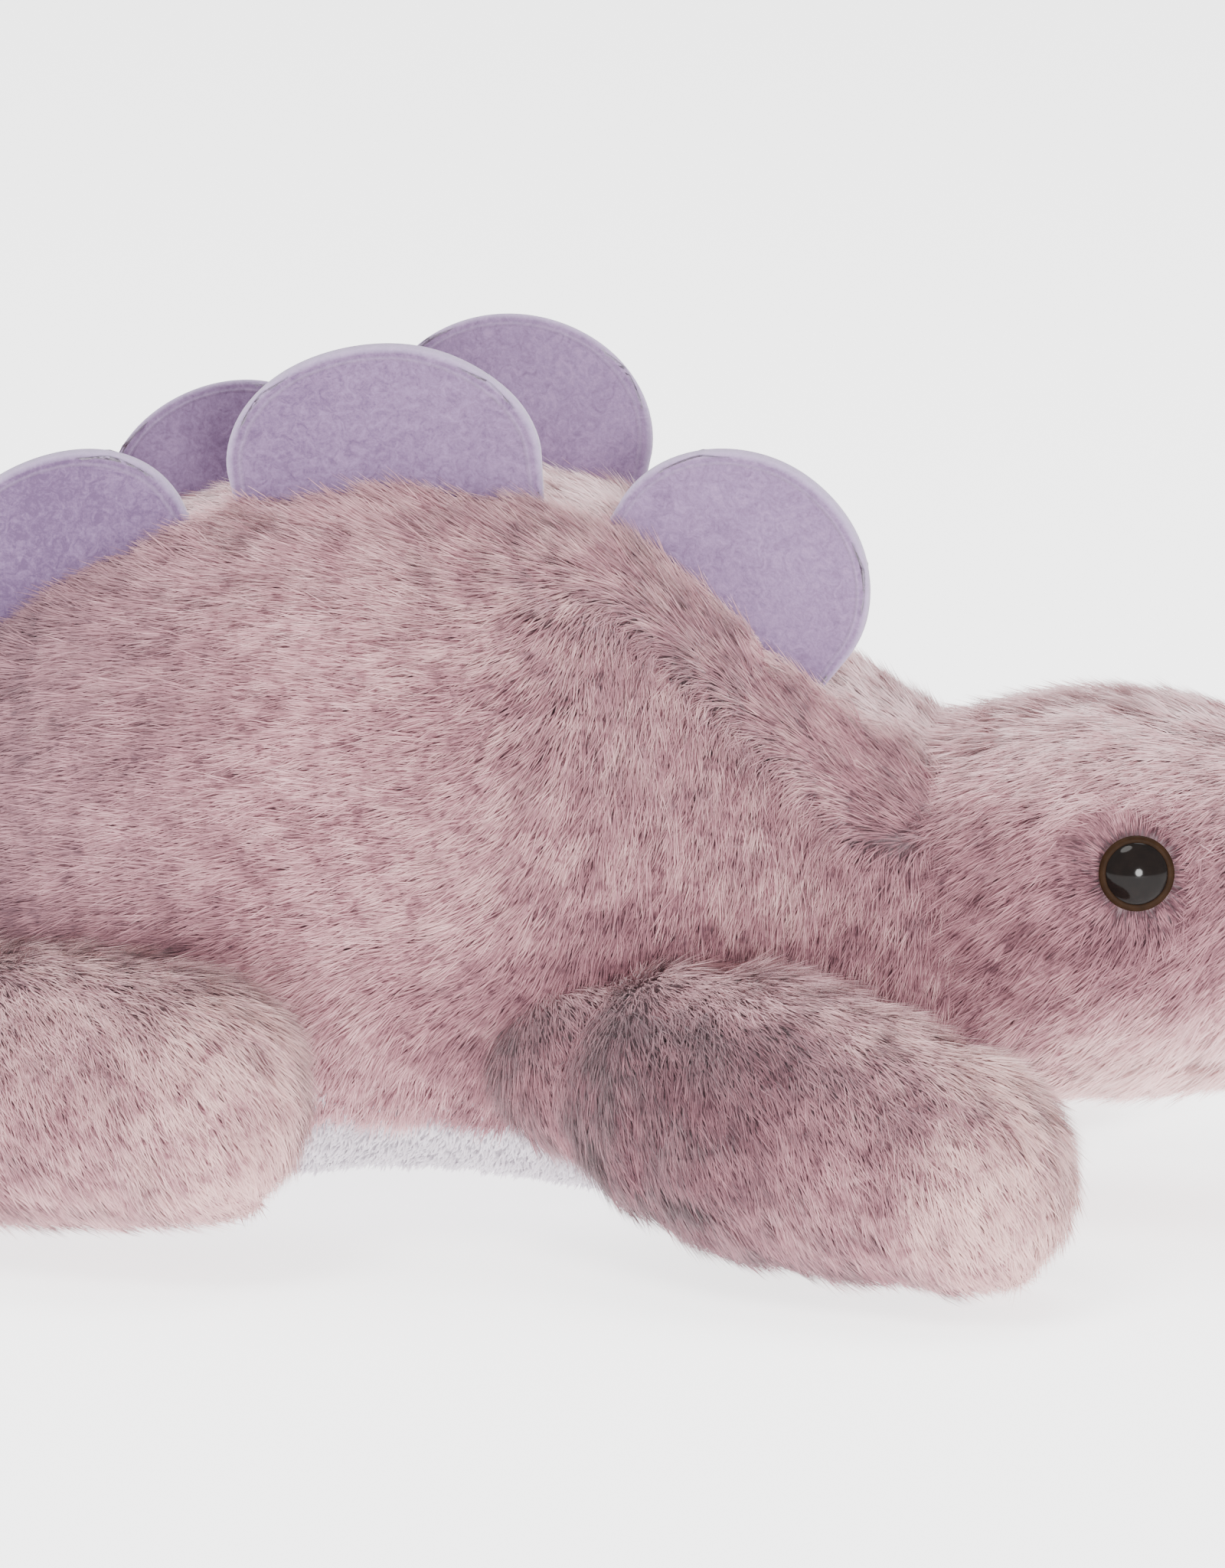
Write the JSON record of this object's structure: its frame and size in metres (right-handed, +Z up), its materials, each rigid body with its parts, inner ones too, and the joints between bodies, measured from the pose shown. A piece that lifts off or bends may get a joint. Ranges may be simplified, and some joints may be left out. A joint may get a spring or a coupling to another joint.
{
  "type": "stuffed dinosaur",
  "caption": "Soft plated dinosaur lying on its belly: mauve fur body, felt back plates, floppy splayed legs, glossy eyes, short tail.",
  "frame": {"origin": "on the surface that the toy lies on, under the middle of its bounding box", "axes": "+X towards the head, +Y towards the toy's own left side, +Z up"},
  "size_m": [0.325, 0.162, 0.1325],
  "materials": {
    "mauve_fur": "short plush pile, mauve with pale frosted tips",
    "pale_fur": "short plush pile, pale pink-beige",
    "belly_plush": "smooth velboa-like short pile, pale lavender grey",
    "lilac_felt": "pressed felt, lilac, fine matt fibres",
    "fibrefill": "loose white polyester fibre",
    "pouch_cloth": "plain woven lining",
    "pellets": "loose weighting pellets",
    "label_satin": "blank white satin ribbon",
    "eye_plastic": "moulded, polished, black with a dark brown rim",
    "washer_plastic": "moulded, matt",
    "stitch_thread": "dark plum embroidery thread"
  },
  "bodies": {
    "torso": {"torso_panel_right": "mauve_fur", "torso_panel_left": "mauve_fur", "spine_strip": "pale_fur", "belly_panel": "belly_plush", "torso_stuffing": "fibrefill", "pellet_pouch": "pouch_cloth", "torso_pellets": "pellets", "care_label": "label_satin"},
    "neck": {"neck_stuffing": "fibrefill"},
    "head": {"head_panel_right": "mauve_fur", "head_panel_left": "mauve_fur", "head_strip": "pale_fur", "head_stuffing": "fibrefill", "eye_right": "eye_plastic", "eye_left": "eye_plastic", "eye_washer_right": "washer_plastic", "eye_washer_left": "washer_plastic", "nostril_stitches": "stitch_thread", "mouth_stitch": "stitch_thread"},
    "tail": {"tail_panel_right": "mauve_fur", "tail_panel_left": "mauve_fur", "tail_stuffing": "fibrefill"},
    "tail_tip": {"tail_tip_panel_right": "mauve_fur", "tail_tip_panel_left": "mauve_fur", "tail_tip_stuffing": "fibrefill", "spike_right_1": "lilac_felt", "spike_right_2": "lilac_felt", "spike_left_1": "lilac_felt", "spike_left_2": "lilac_felt"},
    "leg_front_right": {"leg_front_right_outer_panel": "mauve_fur", "leg_front_right_inner_panel": "mauve_fur", "leg_front_right_stuffing": "fibrefill", "leg_front_right_pellets": "pellets"},
    "leg_front_left": {"leg_front_left_outer_panel": "mauve_fur", "leg_front_left_inner_panel": "mauve_fur", "leg_front_left_stuffing": "fibrefill", "leg_front_left_pellets": "pellets"},
    "leg_hind_right": {"leg_hind_right_outer_panel": "mauve_fur", "leg_hind_right_inner_panel": "mauve_fur", "leg_hind_right_stuffing": "fibrefill", "leg_hind_right_pellets": "pellets"},
    "leg_hind_left": {"leg_hind_left_outer_panel": "mauve_fur", "leg_hind_left_inner_panel": "mauve_fur", "leg_hind_left_stuffing": "fibrefill", "leg_hind_left_pellets": "pellets"},
    "plate_right_1": {"plate_right_1": "lilac_felt"},
    "plate_right_2": {"plate_right_2": "lilac_felt"},
    "plate_right_3": {"plate_right_3": "lilac_felt"},
    "plate_right_4": {"plate_right_4": "lilac_felt"},
    "plate_left_1": {"plate_left_1": "lilac_felt"},
    "plate_left_2": {"plate_left_2": "lilac_felt"},
    "plate_left_3": {"plate_left_3": "lilac_felt"},
    "plate_left_4": {"plate_left_4": "lilac_felt"},
    "plate_right_5": {"plate_right_5": "lilac_felt"}
  },
  "joints": [
    {"name": "head_turn", "type": "hinge", "parent": "torso", "child": "neck", "pos_m": [0.092, 0, 0.046], "axis": [0, 0, 1], "range_deg": [-20, 20], "stiffness_Nm_per_rad": 0.05},
    {"name": "head_nod", "type": "hinge", "parent": "neck", "child": "head", "pos_m": [0.092, 0, 0.046], "axis": [0, 1, 0], "range_deg": [-15, 15], "stiffness_Nm_per_rad": 1.5},
    {"name": "tail_sway", "type": "hinge", "parent": "torso", "child": "tail", "pos_m": [-0.088, 0, 0.029], "axis": [0, 0, 1], "range_deg": [-25, 25], "stiffness_Nm_per_rad": 0.05},
    {"name": "tail_tip_sway", "type": "hinge", "parent": "tail", "child": "tail_tip", "pos_m": [-0.126, 0, 0.016], "axis": [0, 0, 1], "range_deg": [-30, 30], "stiffness_Nm_per_rad": 0.02},
    {"name": "leg_front_right_swing", "type": "hinge", "parent": "torso", "child": "leg_front_right", "pos_m": [0.046, -0.04, 0.029], "axis": [0, 0, 1], "range_deg": [-45, 0]},
    {"name": "leg_front_left_swing", "type": "hinge", "parent": "torso", "child": "leg_front_left", "pos_m": [0.046, 0.04, 0.029], "axis": [0, 0, 1], "range_deg": [0, 45]},
    {"name": "leg_hind_right_swing", "type": "hinge", "parent": "torso", "child": "leg_hind_right", "pos_m": [-0.055, -0.04, 0.027], "axis": [0, 0, 1], "range_deg": [-45, 0]},
    {"name": "leg_hind_left_swing", "type": "hinge", "parent": "torso", "child": "leg_hind_left", "pos_m": [-0.055, 0.04, 0.027], "axis": [0, 0, 1], "range_deg": [0, 45]},
    {"name": "plate_right_1_flex", "type": "hinge", "parent": "torso", "child": "plate_right_1", "pos_m": [0.0615, -0.0125, 0.09212], "axis": [0.827, 0, -0.5621], "range_deg": [-20, 20], "stiffness_Nm_per_rad": 0.02},
    {"name": "plate_right_2_flex", "type": "hinge", "parent": "torso", "child": "plate_right_2", "pos_m": [0.0134, -0.0125, 0.10755], "axis": [0.9965, 0, 0.0837], "range_deg": [-20, 20], "stiffness_Nm_per_rad": 0.02},
    {"name": "plate_right_3_flex", "type": "hinge", "parent": "torso", "child": "plate_right_3", "pos_m": [-0.0325, -0.0125, 0.09282], "axis": [0.8798, 0, 0.4753], "range_deg": [-20, 20], "stiffness_Nm_per_rad": 0.02},
    {"name": "plate_right_4_flex", "type": "hinge", "parent": "torso", "child": "plate_right_4", "pos_m": [-0.066, -0.0125, 0.07143], "axis": [0.8218, 0, 0.5698], "range_deg": [-20, 20], "stiffness_Nm_per_rad": 0.02},
    {"name": "plate_left_1_flex", "type": "hinge", "parent": "torso", "child": "plate_left_1", "pos_m": [0.028, 0.0125, 0.10719], "axis": [0.9921, 0, -0.1254], "range_deg": [-20, 20], "stiffness_Nm_per_rad": 0.02},
    {"name": "plate_left_2_flex", "type": "hinge", "parent": "torso", "child": "plate_left_2", "pos_m": [-0.013, 0.0125, 0.10125], "axis": [0.9365, 0, 0.3507], "range_deg": [-20, 20], "stiffness_Nm_per_rad": 0.02},
    {"name": "plate_left_3_flex", "type": "hinge", "parent": "torso", "child": "plate_left_3", "pos_m": [-0.047, 0.0125, 0.08446], "axis": [0.8552, 0, 0.5183], "range_deg": [-20, 20], "stiffness_Nm_per_rad": 0.02},
    {"name": "plate_left_4_flex", "type": "hinge", "parent": "tail", "child": "plate_left_4", "pos_m": [-0.104, 0.0125, 0.04236], "axis": [0.8053, 0, 0.5928], "range_deg": [-20, 20], "stiffness_Nm_per_rad": 0.02},
    {"name": "plate_right_5_flex", "type": "hinge", "parent": "tail", "child": "plate_right_5", "pos_m": [-0.111, -0.0125, 0.03664], "axis": [0.824, 0, 0.5665], "range_deg": [-20, 20], "stiffness_Nm_per_rad": 0.02}
  ]
}
